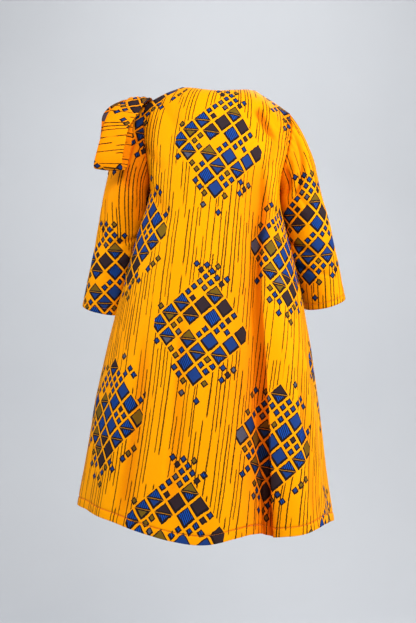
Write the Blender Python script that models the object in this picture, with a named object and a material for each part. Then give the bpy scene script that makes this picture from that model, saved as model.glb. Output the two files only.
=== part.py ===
"""A swing dress of printed cotton with three-quarter sleeves and one big bow loop on the left shoulder.

Metres, +Z up. The back faces -Y and the wearer's right is +X. The origin is the middle of the neck opening
at the height of the shoulders' neck ends. Every cut piece is a closed wall of its own.
"""

import math

import bpy
import numpy as np

WALL = 0.002
BOW_WALL = 0.003
SEAM_GAP = 0.0006
LONGEST_MITRE = 2.2
ROUNDNESS = 2.25
HEM_RAMP_END = 1.02
UNDERARM_Z = -0.25
ROW_DIP = 0.05
SIDE_STEPS = 32
UPPER_ROWS = 11
LOWER_ROWS = 10
CAP_ROWS = 5
SLEEVE_ROWS = 8
BOW_STEPS = 34
BOW_ACROSS = 5
NECK_SHARE = 0.5

# depth below the origin, half width, middle, back depth, front depth, y of the widest line
SECTIONS = [
    (0.20, 0.1480, -0.0080, 0.130, 0.124, 0.002),
    (0.25, 0.1520, -0.0090, 0.138, 0.130, 0.000),
    (0.33, 0.1720, -0.0130, 0.143, 0.145, -0.012),
    (0.39, 0.1870, -0.0130, 0.149, 0.156, -0.020),
    (0.51, 0.2155, -0.0155, 0.166, 0.172, -0.030),
    (0.625, 0.2400, -0.0205, 0.190, 0.180, -0.030),
    (0.74, 0.2615, -0.0250, 0.213, 0.187, -0.030),
    (0.855, 0.2785, -0.0278, 0.236, 0.193, -0.030),
    (0.966, 0.2955, -0.0308, 0.259, 0.199, -0.030),
    (1.04, 0.3060, -0.0310, 0.273, 0.203, -0.030),
]

# angle from the middle of the back, half width of the fold, how far it stands out at the hem, where it starts
FLUTES = [
    (-60, 13, -0.007, 0.40),
    (4, 15, 0.013, 0.38),
    (29, 8.5, -0.045, 0.13),
    (47, 11, 0.017, 0.22),
    (71, 10, -0.007, 0.45),
    (121, 10, -0.020, 0.40),
    (149, 14, 0.014, 0.36),
    (179, 12, -0.014, 0.42),
    (208, 15, 0.013, 0.38),
    (233, 10, -0.018, 0.40),
]

# angle from the middle of the back, height of the hem
HEM = [
    (-90, -0.9900),
    (-80, -0.9800),
    (-68, -0.9775),
    (-54, -0.9810),
    (-40, -0.9865),
    (-30, -0.9955),
    (-20, -1.0055),
    (-10, -1.0155),
    (0, -1.0195),
    (9, -1.0085),
    (16, -1.0030),
    (23, -1.0080),
    (30, -1.0195),
    (37, -1.0165),
    (48, -1.0055),
    (58, -1.0050),
    (70, -1.0120),
    (80, -1.0175),
    (90, -1.0270),
    (130, -1.0240),
    (180, -1.0190),
    (230, -1.0050),
    (270, -0.9900),
]

# place across from left to right, x, y, z of the top edge of each body piece
BACK_TOP = [
    (-1.00, -0.176, 0.000, -0.0385),
    (-0.85, -0.151, 0.000, -0.0240),
    (-0.68, -0.121, 0.000, -0.0085),
    (-0.50, -0.086, 0.000, 0.0038),
    (-0.36, -0.064, -0.032, -0.0040),
    (-0.18, -0.033, -0.053, -0.0130),
    (0.00, 0.001, -0.059, -0.0165),
    (0.18, 0.034, -0.054, -0.0145),
    (0.36, 0.066, -0.033, -0.0085),
    (0.50, 0.088, 0.000, -0.0035),
    (0.68, 0.1175, 0.000, -0.0215),
    (0.85, 0.147, 0.000, -0.0405),
    (1.00, 0.1730, 0.000, -0.0590),
]
FRONT_TOP = [
    (-1.00, -0.176, 0.000, -0.0385),
    (-0.85, -0.151, 0.000, -0.0240),
    (-0.68, -0.121, 0.000, -0.0085),
    (-0.50, -0.086, 0.000, 0.0038),
    (-0.36, -0.066, 0.036, -0.0260),
    (-0.18, -0.035, 0.060, -0.0450),
    (0.00, 0.001, 0.067, -0.0510),
    (0.18, 0.036, 0.061, -0.0465),
    (0.36, 0.068, 0.037, -0.0300),
    (0.50, 0.088, 0.000, -0.0035),
    (0.68, 0.1175, 0.000, -0.0215),
    (0.85, 0.147, 0.000, -0.0405),
    (1.00, 0.1730, 0.000, -0.0590),
]

# share of the way down the armhole, x, depth in y and z of its edge
RIGHT_ARMHOLE = [
    (0.00, 0.1730, 0.000, -0.0590),
    (0.18, 0.1735, 0.030, -0.094),
    (0.34, 0.1700, 0.047, -0.125),
    (0.52, 0.1625, 0.053, -0.161),
    (0.70, 0.1530, 0.050, -0.197),
    (0.86, 0.1455, 0.033, -0.231),
    (1.00, 0.1430, 0.000, -0.250),
]
LEFT_ARMHOLE = [
    (0.00, -0.1760, 0.000, -0.0385),
    (0.18, -0.1770, 0.030, -0.076),
    (0.34, -0.1760, 0.047, -0.111),
    (0.52, -0.1720, 0.053, -0.150),
    (0.70, -0.1660, 0.050, -0.190),
    (0.86, -0.1615, 0.033, -0.229),
    (1.00, -0.1610, 0.000, -0.250),
]

# share of the way down the sleeve below its cap, x, y, z of the middle, half width, half depth
RIGHT_SLEEVE = [
    (0.00, 0.2025, 0.000, -0.270, 0.0500, 0.0560),
    (0.25, 0.2160, 0.008, -0.330, 0.0525, 0.0545),
    (0.50, 0.2300, 0.018, -0.390, 0.0535, 0.0530),
    (0.75, 0.2445, 0.030, -0.450, 0.0535, 0.0510),
    (1.00, 0.2610, 0.045, -0.514, 0.0525, 0.0490),
]
LEFT_SLEEVE = [
    (0.00, -0.2245, 0.000, -0.270, 0.0520, 0.0560),
    (0.50, -0.2510, 0.018, -0.394, 0.0490, 0.0530),
    (0.75, -0.2660, 0.030, -0.461, 0.0500, 0.0510),
    (1.00, -0.2800, 0.045, -0.529, 0.0520, 0.0490),
]

# angle round the armhole from its top to the back, outward, backward and downward lean of the cap there
CAP_LEAN = [
    (0, 0.74, 0.00, 0.67),
    (45, 0.86, 0.26, 0.44),
    (90, 0.82, 0.20, 0.54),
    (135, 0.66, 0.10, 0.74),
    (180, 0.50, 0.00, 0.87),
]

# share of the way along the bow's band, its outer edge x y z, its inner edge x y z
BOW = [
    (0.000, -0.1860, 0.0480, -0.0390, -0.1540, 0.0480, -0.0360),
    (0.045, -0.2000, 0.0260, -0.0245, -0.1590, 0.0260, -0.0240),
    (0.100, -0.2080, -0.0040, -0.0185, -0.1640, -0.0040, -0.0215),
    (0.155, -0.2210, -0.0320, -0.0345, -0.1795, -0.0330, -0.0430),
    (0.225, -0.2506, -0.0590, -0.0590, -0.1895, -0.0600, -0.0675),
    (0.285, -0.2630, -0.0770, -0.0880, -0.2015, -0.0780, -0.0875),
    (0.345, -0.2700, -0.0900, -0.1220, -0.2120, -0.0900, -0.1130),
    (0.410, -0.2785, -0.0980, -0.1590, -0.2185, -0.0980, -0.1490),
    (0.470, -0.2860, -0.1010, -0.1920, -0.2250, -0.1010, -0.1880),
    (0.505, -0.2870, -0.0950, -0.2045, -0.2240, -0.0940, -0.2085),
    (0.540, -0.2840, -0.0810, -0.2040, -0.2180, -0.0790, -0.2060),
    (0.580, -0.2800, -0.0730, -0.1820, -0.2140, -0.0690, -0.1880),
    (0.640, -0.2770, -0.0690, -0.1480, -0.2080, -0.0660, -0.1560),
    (0.710, -0.2735, -0.0600, -0.1080, -0.2050, -0.0620, -0.1200),
    (0.780, -0.2710, -0.0430, -0.0720, -0.2020, -0.0520, -0.0860),
    (0.850, -0.2500, -0.0200, -0.0430, -0.1960, -0.0280, -0.0530),
    (0.910, -0.2200, 0.0080, -0.0270, -0.1860, 0.0040, -0.0340),
    (0.960, -0.2030, 0.0320, -0.0390, -0.1700, 0.0290, -0.0400),
    (1.000, -0.1840, 0.0470, -0.0580, -0.1570, 0.0450, -0.0570),
]
KNOT_AT = (-0.1650, 0.0614, -0.0688)
KNOT_RADII = (0.0230, 0.0150, 0.0240)


def clear_scene():
    for obj in list(bpy.data.objects):
        bpy.data.objects.remove(obj, do_unlink=True)


def smooth(table, at):
    """The other columns of a table, read on a soft curve at these values of its first column."""
    rows = np.array(table, float)
    at = np.asarray(at, float)
    t = rows[:, 0]
    values = rows[:, 1:]
    slope = np.gradient(values, t, axis=0)
    k = np.clip(np.searchsorted(t, at, side="right") - 1, 0, len(t) - 2)
    step = t[k + 1] - t[k]
    s = np.clip((at - t[k]) / step, 0.0, 1.0)[..., None]
    step = step[..., None]
    near = (2 * s**3 - 3 * s**2 + 1) * values[k] + (s**3 - 2 * s**2 + s) * step * slope[k]
    far = (3 * s**2 - 2 * s**3) * values[k + 1] + (s**3 - s**2) * step * slope[k + 1]
    return near + far


def top_edge(table, u):
    """The top edge of a body piece, with a corner at each end of the neckline."""
    first = [row[0] for row in table].index(-NECK_SHARE)
    last = [row[0] for row in table].index(NECK_SHARE)
    points = smooth(table[first : last + 1], u)
    points = np.where(u[:, None] < -NECK_SHARE, smooth(table[: first + 1], u), points)
    return np.where(u[:, None] > NECK_SHARE, smooth(table[last:], u), points)


def unit(vectors):
    return vectors / np.linalg.norm(vectors, axis=-1, keepdims=True)


def flute(turn, z):
    """How far the cloth stands out of its plain ring, at an angle in degrees and a height."""
    out = np.zeros(np.broadcast(turn, z).shape)
    for angle, width, stand, start in FLUTES:
        away = (turn - angle + 180.0) % 360.0 - 180.0
        ramp = np.clip((-z - start) / (HEM_RAMP_END - start), 0.0, 1.1)
        out += stand * ramp**1.15 * np.exp(-((away / width) ** 2))
    return out


def section(turn, z):
    """The body's outside at an angle from the middle of the back and a height."""
    read = smooth(SECTIONS, -z)
    half, middle, back, front, side = np.moveaxis(read, -1, 0)
    s = np.sin(np.radians(turn))
    c = np.cos(np.radians(turn))
    power = 2.0 / ROUNDNESS
    depth = np.where(c > 0, back, front)
    x = half * np.sign(s) * np.abs(s) ** power
    y = -depth * np.sign(c) * np.abs(c) ** power
    outward = unit(np.stack([s / half, -c / depth], -1))
    push = flute(turn, z)
    x = middle + x + push * outward[..., 0]
    y = side + y + push * outward[..., 1]
    return np.stack([x, y, np.broadcast_to(z, x.shape)], -1)


def body_grid(top, to_back):
    """Points of one body piece, rows from its top edge to the hem and columns from the left to the right."""
    side = -1.0 if to_back else 1.0
    u = np.linspace(-1.0, 1.0, SIDE_STEPS + 1)
    turn = 90.0 * u if to_back else 180.0 - 90.0 * u
    row_z = UNDERARM_Z - ROW_DIP * (1.0 - np.abs(u) ** 3)
    low = section(turn, row_z)
    edge_top = top_edge(top, u)
    near_left = np.clip(-u, 0.0, 1.0)[:, None] ** 1.7
    near_right = np.clip(u, 0.0, 1.0)[:, None] ** 1.7
    flip = np.array([1.0, side, 1.0])
    upper = []
    for v in np.linspace(0.0, 1.0, UPPER_ROWS + 1):
        blend = np.array([v, 0.65 * v + 0.35 * (1.0 - (1.0 - v) ** 3.2), v**1.55])
        left = smooth(LEFT_ARMHOLE, v) * flip
        right = smooth(RIGHT_ARMHOLE, v) * flip
        left_plain = (1.0 - blend) * edge_top[0] + blend * low[0]
        right_plain = (1.0 - blend) * edge_top[-1] + blend * low[-1]
        row = (1.0 - blend) * edge_top + blend * low
        row = row + near_left * (left - left_plain) + near_right * (right - right_plain)
        swell = (0.002 if to_back else 0.010) * math.sin(math.pi * v) * np.cos(0.5 * math.pi * u) ** 1.5
        row[:, 1] += side * swell
        upper.append(row)
    hem_z = smooth(HEM, (turn + 90.0) % 360.0 - 90.0)[:, 0]
    lower = []
    for w in np.linspace(0.0, 1.0, LOWER_ROWS + 1)[1:]:
        z = row_z + (hem_z - row_z) * w
        lower.append(section(turn, z))
    return np.array(upper + lower)


def grid_normals(grid, to_back):
    """Outward directions at the points of a grid."""
    down = np.gradient(grid, axis=0)
    across = np.gradient(grid, axis=1)
    normal = unit(np.cross(down, across) if to_back else np.cross(across, down))
    return normal


def make_object(name, points, faces, colour):
    mesh = bpy.data.meshes.new(name)
    mesh.from_pydata([tuple(p) for p in points], [], faces)
    mesh.validate()
    mesh.update()
    obj = bpy.data.objects.new(name, mesh)
    bpy.context.scene.collection.objects.link(obj)
    material = bpy.data.materials.new(name + "_cloth")
    material.use_nodes = True
    shader = material.node_tree.nodes["Principled BSDF"]
    shader.inputs["Base Color"].default_value = (*colour, 1.0)
    shader.inputs["Roughness"].default_value = 0.85
    mesh.materials.append(material)
    return obj


def wall_from_grid(name, outer, inward, colour, round_it=False, flip=False):
    """A closed wall between a grid of points and the same grid moved inwards."""
    rows, columns = outer.shape[:2]
    inner = outer + inward
    points = np.concatenate([outer.reshape(-1, 3), inner.reshape(-1, 3)])
    back = rows * columns
    faces = []

    def index(r, c, side):
        return side * back + r * columns + (c % columns)

    def add(a, b, c, d):
        faces.append((a, d, c, b) if flip else (a, b, c, d))

    spans = columns if round_it else columns - 1
    for r in range(rows - 1):
        for c in range(spans):
            add(index(r, c, 0), index(r + 1, c, 0), index(r + 1, c + 1, 0), index(r, c + 1, 0))
            add(index(r, c, 1), index(r, c + 1, 1), index(r + 1, c + 1, 1), index(r + 1, c, 1))
    for c in range(spans):
        add(index(0, c, 0), index(0, c + 1, 0), index(0, c + 1, 1), index(0, c, 1))
        last = rows - 1
        add(index(last, c, 0), index(last, c, 1), index(last, c + 1, 1), index(last, c + 1, 0))
    if not round_it:
        end = columns - 1
        for r in range(rows - 1):
            add(index(r, 0, 0), index(r, 0, 1), index(r + 1, 0, 1), index(r + 1, 0, 0))
            add(index(r, end, 0), index(r + 1, end, 0), index(r + 1, end, 1), index(r, end, 1))
    return make_object(name, points, faces, colour)


def sleeve_grid(side, loop, loop_normal, loop_out, table):
    """Points and inward steps of a sleeve, from the armhole to the cuff."""
    count = len(loop)
    steps = np.linalg.norm(np.diff(np.concatenate([loop, loop[:1]]), axis=0), axis=1)
    half = count // 2
    down_back = np.concatenate([[0.0], np.cumsum(steps[:half])]) / steps[:half].sum()
    down_front = np.concatenate([[0.0], np.cumsum(steps[half:])]) / steps[half:].sum()
    angle = np.concatenate([180.0 * down_back[:-1], 180.0 + 180.0 * down_front[:-1]])
    lean = smooth(CAP_LEAN, np.minimum(angle, 360.0 - angle))
    lean = lean * np.array([side, 1.0, -1.0])
    lean[:, 1] *= np.where(angle <= 180.0, -1.0, 1.0)
    start_way = unit(unit(lean) + 0.55 * loop_out)
    edge_way = np.roll(loop, -1, axis=0) - np.roll(loop, 1, axis=0)
    own_normal = unit(np.cross(edge_way, start_way)) * side
    between = unit(loop_normal + own_normal)
    longer = np.minimum(1.0 / np.abs(np.sum(between * loop_normal, axis=1)), LONGEST_MITRE)
    seam_step = -WALL * between * longer[:, None]
    apart = unit(np.cross(between, edge_way)) * side

    shares = np.linspace(0.0, 1.0, SLEEVE_ROWS + 1)
    read = smooth(table, shares)
    middle = read[:, :3]
    axis = unit(np.gradient(smooth(table, np.linspace(0, 1, 81))[:, :3], axis=0))[:: 80 // SLEEVE_ROWS]
    rings = []
    for k in range(SLEEVE_ROWS + 1):
        out = np.array([side, 0.0, 0.0])
        out = unit(out - axis[k] * np.dot(out, axis[k]))
        back = np.cross(axis[k], out) * side
        back = -back if back[1] > 0 else back
        wide = read[k, 3] * np.cos(np.radians(angle))[:, None] * out
        deep = read[k, 4] * np.sin(np.radians(angle))[:, None] * back
        rings.append(middle[k] + wide + deep)
    first = rings[0]
    reach = np.linalg.norm(first - loop, axis=1)[:, None]
    start = loop + SEAM_GAP * apart
    rows = [start]
    for s in np.linspace(0.0, 1.0, CAP_ROWS + 1)[1:-1]:
        a = 2 * s**3 - 3 * s**2 + 1
        b = s**3 - 2 * s**2 + s
        c = 3 * s**2 - 2 * s**3
        d = s**3 - s**2
        rows.append(a * start + b * 1.05 * reach * start_way + c * first + d * 0.95 * reach * axis[0])
    grid = np.array(rows + rings)
    down = np.gradient(grid, axis=0)
    across = (np.roll(grid, -1, axis=1) - np.roll(grid, 1, axis=1)) / 2.0
    inward = -WALL * unit(np.cross(across, down)) * side
    inward[0] = seam_step
    return grid, inward


def bow_grid():
    """Points and inward steps of the bow's band, along its way and across it."""
    along = np.linspace(0.0, 1.0, BOW_STEPS + 1)
    read = smooth(BOW, along)
    outer = read[:, :3]
    inner = read[:, 3:]
    share = np.linspace(0.0, 1.0, BOW_ACROSS)[None, :, None]
    grid = outer[:, None, :] * (1.0 - share) + inner[:, None, :] * share
    down = np.gradient(grid, axis=0)
    across = np.gradient(grid, axis=1)
    return grid, -BOW_WALL * unit(np.cross(down, across))


def knot():
    """The bow's knot, a soft lump pressed in at its two ends."""
    rings = 8
    around = 14
    points = [(KNOT_AT[0], KNOT_AT[1], KNOT_AT[2] + KNOT_RADII[2])]
    for i in range(1, rings):
        polar = math.pi * i / rings
        for j in range(around):
            turn = 2 * math.pi * j / around
            pinch = 1.0 + 0.05 * math.cos(3 * turn + 1.0)
            ring = math.sin(polar) ** 0.75 * pinch
            points.append(
                (
                    KNOT_AT[0] + KNOT_RADII[0] * ring * math.cos(turn),
                    KNOT_AT[1] + KNOT_RADII[1] * ring * math.sin(turn),
                    KNOT_AT[2] + KNOT_RADII[2] * math.cos(polar),
                )
            )
    points.append((KNOT_AT[0], KNOT_AT[1], KNOT_AT[2] - KNOT_RADII[2]))
    faces = []
    for j in range(around):
        after = (j + 1) % around
        faces.append((0, 1 + j, 1 + after))
        base = 1 + (rings - 2) * around
        faces.append((len(points) - 1, base + after, base + j))
        for i in range(rings - 2):
            a = 1 + i * around
            b = a + around
            faces.append((a + j, b + j, b + after, a + after))
    make_object("bow_knot", points, faces, (0.72, 0.33, 0.02))


def build():
    clear_scene()
    back = body_grid(BACK_TOP, True)
    front = body_grid(FRONT_TOP, False)
    back_normal = grid_normals(back, True)
    front_normal = grid_normals(front, False)
    for column in (0, -1):
        shared = unit(back_normal[:, column] + front_normal[:, column])
        back_normal[:, column] = shared
        front_normal[:, column] = shared
    neck_from = int(round((1 - NECK_SHARE) / 2 * SIDE_STEPS))
    for part in (slice(0, neck_from + 1), slice(SIDE_STEPS - neck_from, SIDE_STEPS + 1)):
        shared = unit(back_normal[0, part] + front_normal[0, part])
        back_normal[0, part] = shared
        front_normal[0, part] = shared

    back_step = -WALL * back_normal
    front_step = -WALL * front_normal
    sleeves = []
    for side, column, table in ((1, -1, RIGHT_SLEEVE), (-1, 0, LEFT_SLEEVE)):
        loop = np.concatenate([back[:UPPER_ROWS, column], front[UPPER_ROWS:0:-1, column]])
        normal = np.concatenate(
            [back_normal[:UPPER_ROWS, column], front_normal[UPPER_ROWS:0:-1, column]]
        )
        along = np.roll(loop, -1, axis=0) - np.roll(loop, 1, axis=0)
        out = unit(np.cross(normal, along)) * side
        normal = unit(np.cross(along, out)) * side
        grid, step = sleeve_grid(side, loop, normal, out, table)
        sleeves.append((side, grid, step))
        back_step[:UPPER_ROWS, column] = step[0, :UPPER_ROWS]
        back_step[UPPER_ROWS, column] = step[0, UPPER_ROWS]
        front_step[UPPER_ROWS:0:-1, column] = step[0, UPPER_ROWS:]
        front_step[0, column] = step[0, 0]

    half_gap = SEAM_GAP / 2
    for grid in (back, front):
        for edge, inner in ((0, 1), (-1, -2)):
            way = unit(grid[UPPER_ROWS:, inner] - grid[UPPER_ROWS:, edge])
            grid[UPPER_ROWS:, edge] += way * half_gap
        for part in (slice(0, neck_from + 1), slice(SIDE_STEPS - neck_from, SIDE_STEPS + 1)):
            way = unit(grid[1, part] - grid[0, part])
            grid[0, part] += way * half_gap

    yellow = (0.90, 0.43, 0.01)
    wall_from_grid("back", back, back_step, yellow)
    wall_from_grid("front", front, front_step, yellow, flip=True)
    for side, grid, step in sleeves:
        name = "sleeve_right" if side > 0 else "sleeve_left"
        wall_from_grid(name, grid, step, yellow, round_it=True, flip=side > 0)
    band, step = bow_grid()
    wall_from_grid("bow_loop", band, step, (0.80, 0.38, 0.015))
    knot()


build()
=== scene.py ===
"""The looks of a swing dress of printed cotton, with three-quarter sleeves and a bow on the left shoulder.

Metres, +Z up. The back faces -Y, which is the side that the camera sees. The wearer's right is +X.
"""

import math

import bpy
import numpy as np
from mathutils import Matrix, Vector, noise


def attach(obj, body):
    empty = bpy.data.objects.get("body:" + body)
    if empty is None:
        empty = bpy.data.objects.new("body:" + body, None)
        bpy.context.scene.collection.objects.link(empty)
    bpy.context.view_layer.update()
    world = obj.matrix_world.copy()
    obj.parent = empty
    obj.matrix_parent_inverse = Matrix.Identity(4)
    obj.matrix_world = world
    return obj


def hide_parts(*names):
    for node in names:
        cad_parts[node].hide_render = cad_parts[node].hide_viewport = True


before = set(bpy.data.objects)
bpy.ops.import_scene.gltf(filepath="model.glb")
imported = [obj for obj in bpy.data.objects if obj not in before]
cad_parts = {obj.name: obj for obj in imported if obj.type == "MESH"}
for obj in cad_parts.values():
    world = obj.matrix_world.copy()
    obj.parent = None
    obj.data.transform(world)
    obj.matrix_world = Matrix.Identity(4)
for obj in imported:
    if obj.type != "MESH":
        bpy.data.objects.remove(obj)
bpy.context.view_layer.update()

ROUNDNESS = 2.25
HEM_RAMP_END = 1.02
UNDERARM_Z = -0.25
ROW_DIP = 0.05
SIDE_STEPS = 360
UPPER_ROWS = 80
LOWER_ROWS = 170
BODY_SMOOTHING = 50
SLEEVE_SMOOTHING = 30
RIGHT_CAP_SMOOTHING = 70
FLATTEN_ROUNDS = 900
BODY_ROWS = 132
FRONT_COLUMNS = 200
BACK_COLUMNS = 230
CAP_ROWS = 34
SLEEVE_ROWS = 88
NECK_SHARE = 0.5
CLOTH = 0.0009
SEAM_GAP = 0.0003
BODY_HEM = 0.019
SLEEVE_HEM = 0.014
HEM_LIFT = 0.0006
CREASE_STEP = 0.009
CREASE_WAVER = 0.0014
CREASE_TURNS = 17.0
# painted shade along the long crease: its strength high up and how much more low down, how far it fades on
# its left and on its right, and how much farther low down
CREASE_SHADE = (0.88, 0.42)
FADE_LEFT = 0.034
FADE_RIGHT = 0.012
FADE_LOW = 0.008
PUCKER = 0.0013
GATHER = 0.0014
GATHERS_ROUND = 26.0
SLEEVE_ROUND = 0.34
BOW_STEPS = 150
BOW_ACROSS = 36
BOW_REACH = 1.06
BOW_BAND = 0.066
BOW_HALF_WALL = 0.0014
KNOT_ROWS = 40
KNOT_COLUMNS = 72
KNOT_FLAT = (0.045, 0.12)

# depth below the origin, half width, middle, back depth, front depth, y of the widest line
SECTIONS = [
    (0.2, 0.148, -0.008, 0.13, 0.124, 0.002), (0.25, 0.152, -0.009, 0.138, 0.13, 0.0),
    (0.33, 0.172, -0.013, 0.143, 0.145, -0.012), (0.39, 0.187, -0.013, 0.149, 0.156, -0.02),
    (0.51, 0.2155, -0.0155, 0.166, 0.172, -0.03), (0.625, 0.24, -0.0205, 0.19, 0.18, -0.03),
    (0.74, 0.2615, -0.025, 0.213, 0.187, -0.03), (0.855, 0.2785, -0.0278, 0.236, 0.193, -0.03),
    (0.966, 0.2955, -0.0308, 0.259, 0.199, -0.03), (1.04, 0.306, -0.031, 0.273, 0.203, -0.03),
]

# angle from the middle of the back, half width, how far it stands out at the hem, depth where it starts
FLUTES = [
    (-60, 13, -0.007, 0.4), (4, 15, 0.013, 0.38), (29, 8.5, -0.045, 0.13),
    (47, 11, 0.017, 0.22), (71, 10, -0.007, 0.45), (121, 10, -0.02, 0.4),
    (149, 14, 0.014, 0.36), (179, 12, -0.014, 0.42), (208, 15, 0.013, 0.38),
    (233, 10, -0.018, 0.4),
]

# angle from the middle of the back, height of the hem
HEM = [
    (-90, -0.99), (-80, -0.98), (-68, -0.9775), (-54, -0.981), (-40, -0.9865),
    (-30, -0.9955), (-20, -1.0055), (-10, -1.0155), (0, -1.0195), (9, -1.0085),
    (16, -1.003), (23, -1.008), (30, -1.0195), (37, -1.0165), (48, -1.0055),
    (58, -1.005), (70, -1.012), (80, -1.0175), (90, -1.027), (130, -1.024),
    (180, -1.019), (230, -1.005), (270, -0.99),
]

# place across from left to right, x, y, z of the top edge of each body piece
BACK_TOP = [
    (-1.0, -0.176, 0.0, -0.0385), (-0.85, -0.151, 0.0, -0.024), (-0.68, -0.121, 0.0, -0.0085),
    (-0.5, -0.086, 0.0, 0.0038), (-0.36, -0.064, -0.032, -0.004), (-0.18, -0.033, -0.053, -0.013),
    (0.0, 0.001, -0.059, -0.0165), (0.18, 0.034, -0.054, -0.0145), (0.36, 0.066, -0.033, -0.0085),
    (0.5, 0.088, 0.0, -0.0035), (0.68, 0.1175, 0.0, -0.0215), (0.85, 0.147, 0.0, -0.0405),
    (1.0, 0.173, 0.0, -0.059),
]
FRONT_NECK = [
    (-0.36, -0.066, 0.036, -0.026), (-0.18, -0.035, 0.06, -0.045), (0.0, 0.001, 0.067, -0.051),
    (0.18, 0.036, 0.061, -0.0465), (0.36, 0.068, 0.037, -0.03),
]
FRONT_TOP = BACK_TOP[:4] + FRONT_NECK + BACK_TOP[9:]

# share of the way down the armholes, their depth in y, x and z of the right one, x and z of the left one
ARMHOLES = [
    (0.0, 0.0, 0.173, -0.059, -0.176, -0.0385),
    (0.18, 0.03, 0.1735, -0.094, -0.177, -0.076),
    (0.34, 0.047, 0.17, -0.125, -0.176, -0.111),
    (0.52, 0.053, 0.1625, -0.161, -0.172, -0.15),
    (0.7, 0.05, 0.153, -0.197, -0.166, -0.19),
    (0.86, 0.033, 0.1455, -0.231, -0.1615, -0.229),
    (1.0, 0.0, 0.143, -0.25, -0.161, -0.25),
]

# share of the way down the sleeve below its cap, x, y, z of the middle, half width, half depth
RIGHT_SLEEVE = [
    (0.0, 0.2025, 0.0, -0.27, 0.05, 0.056),
    (0.25, 0.216, 0.008, -0.33, 0.0525, 0.0545),
    (0.5, 0.23, 0.018, -0.39, 0.0535, 0.053),
    (0.75, 0.2445, 0.03, -0.45, 0.0535, 0.051),
    (1.0, 0.261, 0.045, -0.514, 0.0525, 0.049),
]
LEFT_SLEEVE = [
    (0.0, -0.2245, 0.0, -0.27, 0.052, 0.056),
    (0.5, -0.251, 0.018, -0.394, 0.049, 0.053),
    (0.75, -0.266, 0.03, -0.461, 0.05, 0.051),
    (1.0, -0.28, 0.045, -0.529, 0.052, 0.049),
]

# angle round the armhole from its top to the back, outward, backward and downward lean of the cap there
CAP_LEAN = [
    (0, 0.74, 0.0, 0.67), (45, 0.86, 0.26, 0.44), (90, 0.82, 0.2, 0.54),
    (135, 0.66, 0.1, 0.74), (180, 0.5, 0.0, 0.87),
]

# share of the way along the bow's band, its outer edge x y z, its inner edge x y z
BOW = [
    (0.0, -0.186, 0.048, -0.039, -0.154, 0.048, -0.036),
    (0.045, -0.2, 0.026, -0.0245, -0.159, 0.026, -0.024),
    (0.1, -0.208, -0.004, -0.0185, -0.164, -0.004, -0.0215),
    (0.155, -0.221, -0.032, -0.0345, -0.1795, -0.033, -0.043),
    (0.225, -0.2506, -0.059, -0.059, -0.1895, -0.06, -0.0675),
    (0.285, -0.263, -0.077, -0.088, -0.2015, -0.078, -0.0875),
    (0.345, -0.27, -0.09, -0.122, -0.212, -0.09, -0.113),
    (0.41, -0.2785, -0.098, -0.159, -0.2185, -0.098, -0.149),
    (0.47, -0.286, -0.101, -0.192, -0.225, -0.101, -0.188),
    (0.505, -0.287, -0.095, -0.2045, -0.224, -0.094, -0.2085),
    (0.54, -0.284, -0.081, -0.204, -0.218, -0.079, -0.206),
    (0.58, -0.28, -0.073, -0.182, -0.214, -0.069, -0.188),
    (0.64, -0.277, -0.069, -0.148, -0.208, -0.066, -0.156),
    (0.71, -0.2735, -0.06, -0.108, -0.205, -0.062, -0.12),
    (0.78, -0.271, -0.043, -0.072, -0.202, -0.052, -0.086),
    (0.85, -0.25, -0.02, -0.043, -0.196, -0.028, -0.053),
    (0.91, -0.22, 0.008, -0.027, -0.186, 0.004, -0.034),
    (0.96, -0.203, 0.032, -0.039, -0.17, 0.029, -0.04),
    (1.0, -0.184, 0.047, -0.058, -0.157, 0.045, -0.057),
]
KNOT_AT = (-0.165, 0.0614, -0.0688)
KNOT_RADII = (0.023, 0.015, 0.024)

# long folds: depth below the origin, x of the crease, its drop on the left, its rise on the right
# and the width of each; a crest has one height instead
BACK_VALLEY = [
    (0.17, 0.102, 0.0, 0.0, 0.018, 0.022), (0.237, 0.1003, 0.004, 0.0055, 0.018, 0.024),
    (0.306, 0.0998, 0.005, 0.0085, 0.02, 0.028), (0.374, 0.0947, 0.0055, 0.0105, 0.022, 0.034),
    (0.441, 0.0911, 0.006, 0.0125, 0.024, 0.038), (0.508, 0.0874, 0.006, 0.0145, 0.026, 0.042),
    (0.597, 0.0878, 0.006, 0.0165, 0.028, 0.046), (0.728, 0.0899, 0.006, 0.018, 0.03, 0.05),
    (0.836, 0.0981, 0.006, 0.0185, 0.032, 0.052), (0.943, 0.104, 0.006, 0.018, 0.034, 0.054),
    (1.04, 0.106, 0.006, 0.017, 0.034, 0.054),
]
BACK_CREST = [
    (0.6, -0.012, 0.0, 0.03, 0.02), (0.76, -0.008, 0.0015, 0.03, 0.021), (0.9, 0.0, 0.0035, 0.032, 0.022),
    (1.04, 0.007, 0.0055, 0.034, 0.022),
]
FRONT_VALLEY = [
    (0.25, -0.085, 0.0, 0.0, 0.02, 0.02), (0.34, -0.09, 0.005, 0.004, 0.024, 0.026),
    (0.48, -0.098, 0.007, 0.006, 0.03, 0.034), (0.64, -0.108, 0.0085, 0.007, 0.036, 0.04),
    (0.82, -0.115, 0.0095, 0.008, 0.04, 0.046), (1.04, -0.124, 0.01, 0.009, 0.042, 0.048),
]
FRONT_CREST = [
    (0.42, 0.07, 0.0, 0.024, 0.022), (0.6, 0.08, 0.0035, 0.03, 0.026),
    (0.8, 0.09, 0.006, 0.034, 0.028), (1.04, 0.102, 0.008, 0.036, 0.03),
]
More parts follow.
